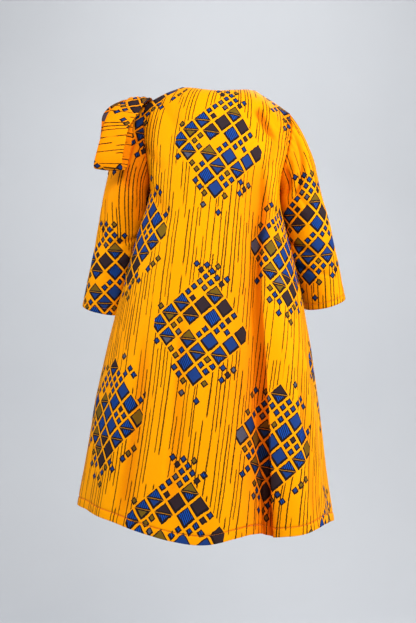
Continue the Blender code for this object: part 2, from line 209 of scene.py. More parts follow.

# short folds on the body: x z of one end, x z of the other, half width, how far it stands out
BACK_FOLDS = [
    (0.129, -0.128, 0.096, -0.06, 0.0095, -0.0085), (0.118, -0.052, 0.148, -0.12, 0.008, 0.0036),
    (0.132, -0.122, 0.112, -0.205, 0.011, -0.003), (0.128, -0.205, 0.118, -0.3, 0.011, 0.004),
    (-0.16, -0.245, -0.12, -0.33, 0.012, -0.003), (-0.172, -0.15, -0.13, -0.215, 0.011, -0.0024),
    (-0.14, -0.03, -0.095, -0.11, 0.012, -0.002), (-0.165, -0.6, -0.215, -0.98, 0.019, -0.0042),
    (-0.085, -0.56, -0.11, -0.96, 0.017, -0.0034), (0.175, -0.64, 0.208, -1.0, 0.015, -0.0034),
]
FRONT_FOLDS = [
    (-0.098, -0.045, -0.128, -0.125, 0.009, -0.0045), (0.104, -0.06, 0.14, -0.13, 0.009, -0.004),
    (-0.158, -0.24, -0.105, -0.33, 0.012, -0.004), (0.142, -0.245, 0.1, -0.34, 0.013, -0.0035),
    (-0.02, -0.12, 0.03, -0.2, 0.015, -0.0015),
]
BACK_LINES = (BACK_VALLEY, BACK_CREST, BACK_FOLDS)
FRONT_LINES = (FRONT_VALLEY, FRONT_CREST, FRONT_FOLDS)

# distances from the hem of the rows that hold its turned edge and its stitches
HEM_ROWS = [
    0.0, 0.0006, 0.0014, 0.003, 0.007, 0.012, 0.016, 0.0178, 0.0185, 0.019,
    0.0195, 0.0202, 0.022, 0.025, 0.03, 0.036,
]

# folds on a sleeve: angle and share of its length at each end, half width, how far it stands out
RIGHT_SLEEVE_FOLDS = [
    (48, 0.02, 112, 0.24, 0.0085, -0.0058), (88, 0.0, 128, 0.26, 0.009, 0.003),
    (118, 0.02, 140, 0.2, 0.007, -0.004), (120, 0.2, 85, 0.36, 0.008, -0.003),
    (165, 0.55, 85, 0.66, 0.0075, -0.0035), (170, 0.62, 95, 0.75, 0.008, 0.0028),
    (160, 0.7, 60, 0.8, 0.007, -0.003), (190, 0.6, 280, 0.7, 0.008, -0.0032),
    (250, 0.05, 235, 0.3, 0.009, -0.0035),
]
LEFT_SLEEVE_FOLDS = [
    (60, 0.03, 105, 0.24, 0.009, -0.0038), (100, 0.05, 128, 0.32, 0.009, 0.003),
    (160, 0.52, 70, 0.6, 0.008, -0.003), (165, 0.6, 90, 0.72, 0.0085, 0.0024),
    (185, 0.62, 290, 0.68, 0.008, -0.0032), (40, 0.3, 55, 0.62, 0.012, -0.002),
    (250, 0.05, 235, 0.3, 0.009, -0.0035),
]

# unevenness of the body: height, its least share high up, size of its lumps, seed
WIDE_RIPPLES = [
    (0.0042, 0.15, (0.34, 0.34, 0.75), 3.1),
    (0.0026, 0.35, (0.16, 0.16, 0.38), 8.4),
]
FINE_RIPPLES = [
    (0.001, (0.045, 0.045, 0.075), 5.7),
    (0.0004, (0.016, 0.016, 0.024), 1.9),
]

# unevenness of a sleeve: height, size of its lumps, seed, how far the side moves the seed
SLEEVE_RIPPLES = [
    (0.0016, (0.05, 0.05, 0.09), 2.3, 1),
    (0.0008, (0.022, 0.022, 0.035), 6.3, 1),
    (0.0003, (0.01, 0.01, 0.014), 4.1, 0),
]

# where a flat cut lies on the print: lean in degrees, how far right and down
BACK_PRINT = (8.0, 0.005, 0.268)
FRONT_PRINT = (3.0, 0.06, 0.16)
BOW_PRINT = (3.0, 0.118, -0.07)
KNOT_PRINT = (80.0, 0.02, 0.02)

# the sleeves by their side: word, shape, folds, place on the print, flat size
SLEEVES = {
    1: ("right", RIGHT_SLEEVE, RIGHT_SLEEVE_FOLDS, (8.0, 0.0535, 0.125), (0.34, 0.49)),
    -1: ("left", LEFT_SLEEVE, LEFT_SLEEVE_FOLDS, (-8.0, -0.0135, -0.022), (0.35, 0.53)),
}

# the print in metres: its repeat, a lozenge's size, where its outline and its fill start, how much heavier
# its lower sides are, how far a split keeps off, how much lines wobble, and the pinstripes
REPEAT = (0.43, 0.43)
LOZENGE = (0.048, 0.053)
LINE_START = (0.0022, 0.0028)
FILL_START = (0.0046, 0.0052)
HEAVY_SIDE = 0.0026
HEAVY_SIDE_SMALL = 0.0009
SPLIT_LINE = 0.0022
SPLIT_HEAVY = 0.0016
WOBBLE = 0.0022
STRIPE_PITCH = 0.0094
STRIPE_HALF = (0.00085, 0.0015)
DIAGONAL = 0.7071

# rings of lozenges round a medallion's middle, full or loose, and the chances that a lozenge is cut in four,
# that it is cut in four or two, and that a small one shows in the full rings and in the loose one
FULL_RINGS = 2.5
LOOSE_RINGS = 3.5
CUT_IN_FOUR = 0.36
CUT_AT_ALL = 0.6
FULL_SHOWN = 0.88
LOOSE_SHOWN = 0.3

# colours, and from which chance on each fill is taken
GROUND = (0.9, 0.345, 0.0, 1.0)
GROUND_DEEP = (0.88, 0.3, 0.0, 1.0)
# painted shade: the colour that the cloth is multiplied by where its shade attribute is high
PAINTED_SHADE_COLOUR = (0.66, 0.3, 0.22, 1.0)
OUTLINE = (0.012, 0.009, 0.011, 1.0)
STRIPE = (0.012, 0.006, 0.003, 1.0)
NAVY_FROM = 0.26
SLATE_FROM = 0.5
BLACK_FROM = 0.84
FILLS = [
    (0.0, (0.009, 0.04, 0.19, 1.0)),
    (NAVY_FROM, (0.005, 0.01, 0.04, 1.0)),
    (SLATE_FROM, (0.085, 0.092, 0.142, 1.0)),
    (0.66, (0.17, 0.1, 0.008, 1.0)),
    (BLACK_FROM, (0.026, 0.017, 0.024, 1.0)),
]
HATCH = (0.004, 0.07, 0.4, 1.0)
WARP_PITCH = 0.00055
WEFT_PITCH = 0.0005

# a stitch of thread, in metres: length, gap to the next, half width
STITCH = 0.0028
STITCH_GAP = 0.001
STITCH_HALF = 0.00042

# the studio: y and z of the floor's two ends and the wall's top, the curve between them, and each light's
# place, aim, size, watts and colour
FLOOR = [(-7.0, -2.2), (3.0, -2.2)]
WALL_TOP = (4.2, 4.0)
SWEEP_MIDDLE = (3.0, -1.0)
SWEEP_RADIUS = 1.2
DRESS_MIDDLE = (0.0, 0.0, -0.4)
LIGHTS = {
    "key": ((0.6, -2.2, 1.22), DRESS_MIDDLE, 1.1, 82.0, (1.0, 0.99, 0.97)),
    "left_fill": ((-2.4, -0.87, 0.72), DRESS_MIDDLE, 1.2, 44.0, (0.98, 0.99, 1.0)),
    "right_edge": ((2.62, -0.8, 0.15), DRESS_MIDDLE, 1.0, 62.0, (1.0, 0.99, 0.97)),
    "backdrop": ((0.2, 1.9, 2.3), (0.3, 4.2, -0.9), 2.0, 32.0, (1.0, 1.0, 1.0)),
    "front_soft": ((0.9, 2.9, 2.0), DRESS_MIDDLE, 1.2, 42.0, (1.0, 1.0, 1.0)),
}
FOCAL_PIXELS = 958.3
PICTURE_HEIGHT = 623.0
SENSOR = 36.0


def clamp(value):
    return np.clip(value, 0.0, 1.0)


def bell(away, width):
    """1 at a place and soft to 0 on both sides of it."""
    return np.exp(-((away / width) ** 2))


def ease_in(t):
    return t * t * (3.0 - 2.0 * t)


def curve_weights(s):
    """Shares of a curve's start, the slope there, its end and the slope there, part of the way along."""
    return 2 * s**3 - 3 * s**2 + 1, s**3 - 2 * s**2 + s, 3 * s**2 - 2 * s**3, s**3 - s**2


def smooth(table, at):
    """The other columns of a table, read on a soft curve at these values of its first column."""
    rows = np.array(table, float)
    at = np.asarray(at, float)
    t = rows[:, 0]
    values = rows[:, 1:]
    slope = np.gradient(values, t, axis=0)
    k = np.clip(np.searchsorted(t, at, side="right") - 1, 0, len(t) - 2)
    step = t[k + 1] - t[k]
    s = clamp((at - t[k]) / step)[..., None]
    step = step[..., None]
    a, b, c, d = curve_weights(s)
    return (a * values[k] + b * step * slope[k]) + (c * values[k + 1] + d * step * slope[k + 1])


def top_edge(table, u):
    """The top edge of a body piece, with a corner at each end of the neckline."""
    first = [row[0] for row in table].index(-NECK_SHARE)
    last = [row[0] for row in table].index(NECK_SHARE)
    points = smooth(table[first : last + 1], u)
    points = np.where(u[:, None] < -NECK_SHARE, smooth(table[: first + 1], u), points)
    return np.where(u[:, None] > NECK_SHARE, smooth(table[last:], u), points)


def unit(vectors):
    return vectors / np.linalg.norm(vectors, axis=-1, keepdims=True)


def flute(turn, z):
    """How far the cloth stands out of its plain ring, at an angle in degrees and a height."""
    out = np.zeros(np.broadcast(turn, z).shape)
    for angle, width, stand, start in FLUTES:
        away = (turn - angle + 180.0) % 360.0 - 180.0
        ramp = np.clip((-z - start) / (HEM_RAMP_END - start), 0.0, 1.1)
        out += stand * ramp**1.15 * bell(away, width)
    return out


def section(turn, z):
    """The body's outside at an angle from the middle of the back and a height."""
    read = smooth(SECTIONS, -z)
    half, middle, back, front, side = np.moveaxis(read, -1, 0)
    s = np.sin(np.radians(turn))
    c = np.cos(np.radians(turn))
    power = 2.0 / ROUNDNESS
    depth = np.where(c > 0, back, front)
    x = half * np.sign(s) * np.abs(s) ** power
    y = -depth * np.sign(c) * np.abs(c) ** power
    outward = unit(np.stack([s / half, -c / depth], -1))
    push = flute(turn, z)
    x = middle + x + push * outward[..., 0]
    y = side + y + push * outward[..., 1]
    return np.stack([x, y, np.broadcast_to(z, x.shape)], -1)


def body_grid(top, to_back):
    """Points of one body piece, rows from its top edge to the hem and columns from the left to the right."""
    side = -1.0 if to_back else 1.0
    u = np.linspace(-1.0, 1.0, SIDE_STEPS + 1)
    turn = 90.0 * u if to_back else 180.0 - 90.0 * u
    row_z = UNDERARM_Z - ROW_DIP * (1.0 - np.abs(u) ** 3)
    low = section(turn, row_z)
    edge_top = top_edge(top, u)
    near_left = clamp(-u)[:, None] ** 1.7
    near_right = clamp(u)[:, None] ** 1.7
    upper = []
    for v in np.linspace(0.0, 1.0, UPPER_ROWS + 1):
        blend = np.array([v, 0.65 * v + 0.35 * (1.0 - (1.0 - v) ** 3.2), v**1.55])
        depth, right_x, right_z, left_x, left_z = smooth(ARMHOLES, v)
        left = np.array([left_x, side * depth, left_z])
        right = np.array([right_x, side * depth, right_z])
        left_plain = (1.0 - blend) * edge_top[0] + blend * low[0]
        right_plain = (1.0 - blend) * edge_top[-1] + blend * low[-1]
        row = (1.0 - blend) * edge_top + blend * low
        row = row + near_left * (left - left_plain) + near_right * (right - right_plain)
        swell = (0.002 if to_back else 0.010) * math.sin(math.pi * v) * np.cos(0.5 * math.pi * u) ** 1.5
        row[:, 1] += side * swell
        upper.append(row)
    hem_z = smooth(HEM, (turn + 90.0) % 360.0 - 90.0)[:, 0]
    lower = []
    for w in np.linspace(0.0, 1.0, LOWER_ROWS + 1)[1:]:
        lower.append(section(turn, row_z + (hem_z - row_z) * w))
    grid = np.array(upper + lower)
    hold = (1.0 - np.abs(u) ** 10)[None, :, None]
    for _ in range(BODY_SMOOTHING):
        middle = (grid[:-2] + 2.0 * grid[1:-1] + grid[2:]) / 4.0
        grid[1:-1] += (middle - grid[1:-1]) * hold
    return grid


def grid_normals(grid, side, round_it=False):
    """Outward directions at the points of a grid, with side -1 where its columns run the other way."""
    down = np.gradient(grid, axis=0)
    if round_it:
        across = (np.roll(grid, -1, axis=1) - np.roll(grid, 1, axis=1)) / 2.0
    else:
        across = np.gradient(grid, axis=1)
    return unit(np.cross(down, across)) * side


def sleeve_grid(side, loop, loop_normal, table):
    """Points of a sleeve, rows from armhole to cuff and columns from the top over the back, with angles."""
    count = len(loop)
    steps = np.linalg.norm(np.diff(np.concatenate([loop, loop[:1]]), axis=0), axis=1)
    half = count // 2
    down_back = np.concatenate([[0.0], np.cumsum(steps[:half])]) / steps[:half].sum()
    down_front = np.concatenate([[0.0], np.cumsum(steps[half:])]) / steps[half:].sum()
    angle = np.concatenate([180.0 * down_back[:-1], 180.0 + 180.0 * down_front[:-1]])
    along = np.roll(loop, -1, axis=0) - np.roll(loop, 1, axis=0)
    loop_out = unit(np.cross(loop_normal, along)) * side
    lean = smooth(CAP_LEAN, np.minimum(angle, 360.0 - angle))
    lean = lean * np.array([side, 1.0, -1.0])
    lean[:, 1] *= np.where(angle <= 180.0, -1.0, 1.0)
    start_way = unit(unit(lean) + 0.55 * loop_out)

    read = smooth(table, np.linspace(0.0, 1.0, SLEEVE_ROWS + 1))
    middle = read[:, :3]
    axis = unit(np.gradient(middle, axis=0))
    rings = []
    for k in range(SLEEVE_ROWS + 1):
        out = np.array([side, 0.0, 0.0])
        out = unit(out - axis[k] * np.dot(out, axis[k]))
        back = np.cross(axis[k], out)
        back = -back if back[1] > 0 else back
        wide = read[k, 3] * np.cos(np.radians(angle))[:, None] * out
        deep = read[k, 4] * np.sin(np.radians(angle))[:, None] * back
        rings.append(middle[k] + wide + deep)
    first = rings[0]
    reach = np.linalg.norm(first - loop, axis=1)[:, None]
    start = loop + SEAM_GAP * loop_out
    rows = [start]
    for s in np.linspace(0.0, 1.0, CAP_ROWS + 1)[1:-1]:
        a, b, c, d = curve_weights(s)
        rows.append(a * start + b * 1.05 * reach * start_way + c * first + d * 0.95 * reach * axis[0])
    grid = np.array(rows + rings)
    for _ in range(SLEEVE_SMOOTHING):
        grid[1:-1] = (grid[:-2] + 2.0 * grid[1:-1] + grid[2:]) / 4.0
    if side > 0:
        row = np.arange(len(grid))
        ease = clamp(row / 10.0) * clamp((60.0 - row) / 20.0)
        for _ in range(RIGHT_CAP_SMOOTHING):
            middle = (np.roll(grid, 1, axis=1) + 2.0 * grid + np.roll(grid, -1, axis=1)) / 4.0
            grid += (middle - grid) * ease[:, None, None]
    return grid, angle


def column_steps(grid):
    """The distance from each point of a grid to the next one in its row."""
    return np.linalg.norm(np.diff(grid, axis=1), axis=-1)


def running(steps):
    """Steps summed along each row, from zero in the first column."""
    return np.concatenate([np.zeros((len(steps), 1)), np.cumsum(steps, axis=1)], axis=1)


def row_lengths(grid):
    """The length of cloth above each point of a grid."""
    down = np.linalg.norm(np.diff(grid, axis=0), axis=-1)
    return np.concatenate([np.zeros((1, grid.shape[1])), np.cumsum(down, axis=0)], axis=0)


def flatten(grid, start):
    """A grid of cloth laid flat, in metres: points are pulled about until every edge has its own length."""
    row_at = np.unique(np.linspace(0, grid.shape[0] - 1, 46).round().astype(int))
    column_at = np.unique(np.linspace(0, grid.shape[1] - 1, 45).round().astype(int))
    solid = grid[np.ix_(row_at, column_at)]
    flat = start[np.ix_(row_at, column_at)].copy()
    pairs = [
        ((slice(None), slice(0, -1)), (slice(None), slice(1, None))),
        ((slice(0, -1), slice(None)), (slice(1, None), slice(None))),
        ((slice(0, -1), slice(0, -1)), (slice(1, None), slice(1, None))),
        ((slice(0, -1), slice(1, None)), (slice(1, None), slice(0, -1))),
    ]
    rest = [np.linalg.norm(solid[b] - solid[a], axis=-1) for a, b in pairs]
    for _ in range(FLATTEN_ROUNDS):
        move = np.zeros_like(flat)
        for (a, b), length in zip(pairs, rest):
            way = flat[b] - flat[a]
            now = np.linalg.norm(way, axis=-1)
            pull = 0.5 * way * ((now - length) / now)[..., None]
            move[a] += pull
            move[b] -= pull
        flat += move / 5.0
    rows = np.arange(grid.shape[0])
    columns = np.arange(grid.shape[1])
    out = np.empty(grid.shape[:2] + (2,))
    for k in range(2):
        tall = np.array([np.interp(rows, row_at, flat[:, c, k]) for c in range(len(column_at))])
        out[..., k] = np.array([np.interp(columns, column_at, tall[:, r]) for r in range(len(rows))])
    return out


def upright(flat, column):
    """Turns a flat cut so that one of its columns stands straight, with its top at the origin."""
    way = flat[0, column] - flat[-1, column]
    turn = math.atan2(way[0], way[1])
    c = math.cos(turn)
    s = math.sin(turn)
    moved = flat - flat[0, column]
    return np.stack([moved[..., 0] * c - moved[..., 1] * s, moved[..., 0] * s + moved[..., 1] * c], -1)


def flat_cut(grid, middle):
    """The flat cut of a grid of cloth, with its middle column straight and its top at the origin."""
    across = running(column_steps(grid))
    across = across - across[:, middle : middle + 1]
    down = row_lengths(grid)[:, middle]
    start = np.stack([across, -np.broadcast_to(down[:, None], across.shape)], -1)
    return upright(flatten(grid, start), middle)


def taken_up(plain, folded):
    """How far the folds draw the cloth in, as a step across the cut for each point."""
    more = column_steps(folded) - column_steps(plain)
    for _ in range(12):
        more[1:-1] = (more[:-2] + 2.0 * more[1:-1] + more[2:]) / 4.0
    far = running(more)
    middle = far.shape[1] // 2
    far = far - far[:, middle : middle + 1]
    return np.stack([far, np.zeros_like(far)], -1)


def sleeve_cut(grid):
    """The flat cut of a sleeve that is opened along its underarm, one more column than the grid has."""
    half = grid.shape[1] // 2
    opened = np.concatenate([grid[:, half:], grid[:, : half + 1]], axis=1)
    return flat_cut(opened, opened.shape[1] - 1 - half)


def placed(uv, lean, right, down):
    """A flat cut laid on the print: leaned in degrees and moved in metres."""
    c = math.cos(math.radians(lean))
    s = math.sin(math.radians(lean))
    x = uv[..., 0] * c - uv[..., 1] * s
    y = uv[..., 0] * s + uv[..., 1] * c
    return np.stack([x + right, y - down], -1)


def ripple(points, size, seed):
    """Soft noise from -1 to 1 at each point, with lumps of the given size in x, y and z."""
    flat = points.reshape(-1, 3) / np.array(size)
    values = [noise.noise(Vector((p[0] + seed, p[1] - seed, p[2] + 2 * seed))) for p in flat]
    return np.array(values).reshape(points.shape[:-1])


def fold_at(x, y, x0, y0, x1, y1, width, stand):
    """A fold between two places: a soft groove or ridge, steeper on one side, that fades at its ends."""
    long_x = x1 - x0
    long_y = y1 - y0
    length = math.hypot(long_x, long_y)
    t = ((x - x0) * long_x + (y - y0) * long_y) / length**2
    off = ((x - x0) * long_y - (y - y0) * long_x) / length
    off = off + 0.25 * width * np.sin(3.0 * t)
    width = width * (0.75 + 0.5 * clamp(t)) * np.where(off > 0, 0.65, 1.30)
    ends = clamp(clamp(t + 0.15) * clamp(1.15 - t) * 3.0)
    return stand * ease_in(ends) * bell(off, width)


def read_down(table, z):
    """The columns of a table of depths below the origin, read at these heights."""
    return np.moveaxis(smooth(table, np.clip(-z, table[0][0], table[-1][0])), -1, 0)


def long_fold(x, z, table):
    """A long crease: the cloth drops towards it on its left, turns up sharply and eases off on its right."""
    line, drop, rise, left, right = read_down(table, z)
    line = line + CREASE_WAVER * np.sin(z * CREASE_TURNS)
    off = x - line
    low = -drop * bell(np.minimum(off + 0.5 * CREASE_STEP, 0.0), left)
    high = rise * bell(np.maximum(off - 0.5 * CREASE_STEP, 0.0), right)
    t = ease_in(clamp(off / CREASE_STEP + 0.5))
    return low * (1.0 - t) + high * t


def long_crest(x, z, table):
    """A long soft ridge that is steeper on its right."""
    line, stand, left, right = read_down(table, z)
    off = x - line
    return stand * bell(off, np.where(off < 0, left, right))


def crease_shade(x, z, table):
    """How deep in shade the cloth lies along a long crease: wide on its left, narrow on its right."""
    line, drop, rise, _, _ = read_down(table, z)
    off = x - line - CREASE_WAVER * np.sin(z * CREASE_TURNS)
    depth = clamp((drop + rise) / 0.016)
    low = clamp((-z - 0.60) / 0.40)
    left = np.exp(off / (FADE_LEFT + FADE_LOW * low))
    right = bell(off, FADE_RIGHT + FADE_LOW * low)
    return (CREASE_SHADE[0] + CREASE_SHADE[1] * low) * depth * np.where(off < 0, left, right)


def body_folds(grid, normal, to_back):
    """A body piece with its creases and unevenness on top of its flutes, and the painted shade of its folds,
    long crease and armhole seams.
    """
    valley, crest, folds = BACK_LINES if to_back else FRONT_LINES
    x = grid[..., 0]
    z = grid[..., 2]
    turn = np.arctan2(x + 0.02, -grid[..., 1] - 0.03)
    ring = np.stack([np.cos(turn), np.sin(turn), z], -1)
    low = clamp((-z - 0.25) / 0.77)
    body = clamp((-z - 0.12) / 0.20)
    push = np.zeros(x.shape)
    for height, least, size, seed in WIDE_RIPPLES:
        push += height * (least + low) * body * ripple(ring, size, seed)
    for height, size, seed in FINE_RIPPLES:
        push += height * ripple(grid, size, seed)
    push += long_fold(x, z, valley) + long_crest(x, z, crest)
    made = np.zeros(x.shape)
    for fold in folds:
        made += fold_at(x, z, *fold)
    push += made
    # painted shade in the folds and along the long crease
    shade = hollow(made) + crease_shade(x, z, valley)

    near = running(column_steps(grid))
    near = np.minimum(near, near[:, -1:] - near)
    above = clamp((z - UNDERARM_Z + 0.02) / 0.03)
    pucker = np.sin(z * 520.0 + x * 260.0 + 1.5 * np.sin(z * 90.0))
    push += above * PUCKER * pucker * np.exp(-near / 0.014)
    # painted shade along the armhole seams, striped with their puckers
    shade += above * (0.62 + 0.30 * pucker) * np.exp(-near / 0.024)
    return grid + normal * push[..., None], clamp(shade)


def spaced(base, to_back):
    """The same surface with rows close together at the hem and, on the back, columns close together at its
    long crease.
    """
    columns = np.linspace(-1.0, 1.0, FRONT_COLUMNS + 1)
    if to_back:
        fine = np.linspace(-1.0, 1.0, 2001)
        density = 1.0 + 1.4 * bell(fine - 0.30, 0.12)
        share = np.concatenate([[0.0], np.cumsum((density[1:] + density[:-1]) / 2.0)])
        columns = np.interp(np.linspace(0.0, share[-1], BACK_COLUMNS + 1), share, fine)
    at = (columns + 1.0) / 2.0 * (base.shape[1] - 1)
    low = np.minimum(np.floor(at).astype(int), base.shape[1] - 2)
    part = (at - low)[None, :, None]
    wide = base[:, low] * (1.0 - part) + base[:, low + 1] * part
    lengths = row_lengths(wide)
    out = np.empty((BODY_ROWS + len(HEM_ROWS), wide.shape[1], 3))
    for c in range(wide.shape[1]):
        total = lengths[-1, c]
        rows = np.linspace(0.0, total - HEM_ROWS[-1], BODY_ROWS + 1)[:-1]
        rows = np.concatenate([rows, total - np.array(HEM_ROWS[::-1])])
        for k in range(3):
            out[:, c, k] = np.interp(rows, lengths[:, c], wide[:, c, k])
    return out


def hem_turn(grid, normal, lengths, depth):
    """The turned-up hem, thicker below its line of stitches, which pulls in, and a painted shade along that
    line.
    """
    from_end = lengths[-1:] - lengths
    up = 0.5 - 0.5 * np.tanh((from_end - depth) / 0.0012)
    groove = bell(from_end - depth, 0.0016)
    rolled = bell(from_end, 0.0012)
    push = HEM_LIFT * up - 0.0013 * groove - 0.0004 * rolled
    return grid + normal * push[..., None], 0.6 * groove


def seam_dip(grid, normal, depth):
    """A pressed seam along both side columns of a grid."""
    across = column_steps(grid)
    far = running(across)
    grid = grid - normal * (depth * bell(far, 0.0022))[..., None]
    far = running(across[:, ::-1])[:, ::-1]
    return grid - normal * (depth * bell(far, 0.0022))[..., None]


def hollow(push):
    """How deep in shade a place lies in its folds, from 0 to 1, from how far they draw the cloth in."""
    return clamp(-push / 0.0060) ** 1.3 * 0.75


def add_mesh(name, points, faces, material):
    """A smooth mesh object in the scene."""
    mesh = bpy.data.meshes.new(name)
    mesh.from_pydata(points, [], faces)
    mesh.polygons.foreach_set("use_smooth", np.ones(len(mesh.polygons), bool))
    mesh.materials.append(material)
    mesh.update()
    obj = bpy.data.objects.new(name, mesh)
    bpy.context.scene.collection.objects.link(obj)
    return obj


def cloth_object(name, grid, uv, round_it, flip, material, wall=CLOTH, shade=None):
    """A sheet of cloth from a grid of points, with its flat cut as UVs and a real thickness inwards."""
    rows, columns = grid.shape[:2]
    spans = columns if round_it else columns - 1
    r, c = np.meshgrid(np.arange(rows - 1), np.arange(spans), indexing="ij")
    after = (c + 1) % columns
    corners = [(r, c, c), (r + 1, c, c), (r + 1, after, c + 1), (r, after, c + 1)]
    if flip:
        corners = corners[::-1]
    faces = np.stack([row * columns + column for row, column, _ in corners], -1).reshape(-1, 4)
    obj = add_mesh(name, grid.reshape(-1, 3).tolist(), faces.tolist(), material)
    values = np.stack([uv[row, column] for row, _, column in corners], 2).reshape(-1)
    obj.data.uv_layers.new(name="cut").data.foreach_set("uv", values.astype(np.float32))
    # painted shade, kept as a point attribute that the cloth material darkens its colour by
    if shade is not None:
        deep = obj.data.attributes.new("shade", "FLOAT", "POINT")
        deep.data.foreach_set("value", clamp(shade).astype(np.float32).reshape(-1))
    if wall:
        thick = obj.modifiers.new("thickness", "SOLIDIFY")
        thick.thickness = wall
        thick.offset = -1.0
        thick.use_even_offset = False
    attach(obj, "root")
    return obj


def linear(red, green, blue):
    """A colour given in 0 to 255 as a screen shows it, for a node."""
    out = []
    for value in (red, green, blue):
        value = value / 255.0
        out.append(value / 12.92 if value <= 0.04045 else ((value + 0.055) / 1.055) ** 2.4)
    return (*out, 1.0)


class Wires:
    """Short ways to build a node tree."""

    def __init__(self, tree):
        self.tree = tree

    def put(self, kind, **settings):
        node = self.tree.nodes.new(kind)
        for key, value in settings.items():
            setattr(node, key, value)
        return node

    def feed(self, socket, value):
        if isinstance(value, bpy.types.NodeSocket):
            self.tree.links.new(value, socket)
        else:
            socket.default_value = value

    def filled(self, kind, *values, **settings):
        node = self.put(kind, **settings)
        for socket, value in zip(node.inputs, values):
            self.feed(socket, value)
        return node.outputs[0]

    def math(self, kind, *values):
        return self.filled("ShaderNodeMath", *values, operation=kind)

    def times(self, one, two):
        return self.math("MULTIPLY", one, two)

    def plus(self, one, two):
        return self.math("ADD", one, two)

    def minus(self, one, two):
        return self.math("SUBTRACT", one, two)

    def join(self, x, y, z=0.0):
        return self.filled("ShaderNodeCombineXYZ", x, y, z)

    def split(self, vector):
        node = self.put("ShaderNodeSeparateXYZ")
        self.feed(node.inputs[0], vector)
        return node.outputs[:3]

    def blend(self, share, first, second, kind="MIX"):
        node = self.put("ShaderNodeMix", data_type="RGBA", blend_type=kind)
        self.feed(node.inputs[0], share)
        self.feed(node.inputs[6], first)
        self.feed(node.inputs[7], second)
        return node.outputs[2]

    def chance(self, x, y, z):
        node = self.put("ShaderNodeTexWhiteNoise", noise_dimensions="3D")
        self.feed(node.inputs["Vector"], self.join(x, y, z))
        return node.outputs["Value"]

    def noise(self, vector, scale, detail):
        node = self.put("ShaderNodeTexNoise")
        self.feed(node.inputs["Vector"], vector)
        node.inputs["Scale"].default_value = scale
        node.inputs["Detail"].default_value = detail
        return node.outputs["Fac"]

    def range(self, value, low, high, to_low=0.0, to_high=1.0):
        return self.filled("ShaderNodeMapRange", value, low, high, to_low, to_high)

    def bump(self, shader, strength, distance, height):
        node = self.put("ShaderNodeBump")
        node.inputs["Strength"].default_value = strength
        node.inputs["Distance"].default_value = distance
        self.feed(node.inputs["Height"], height)
        self.feed(shader.inputs["Normal"], node.outputs[0])


def new_material(name):
    """A new material, the wires of its node tree and its shader."""
    material = bpy.data.materials.new(name)
    material.use_nodes = True
    return material, Wires(material.node_tree), material.node_tree.nodes["Principled BSDF"]


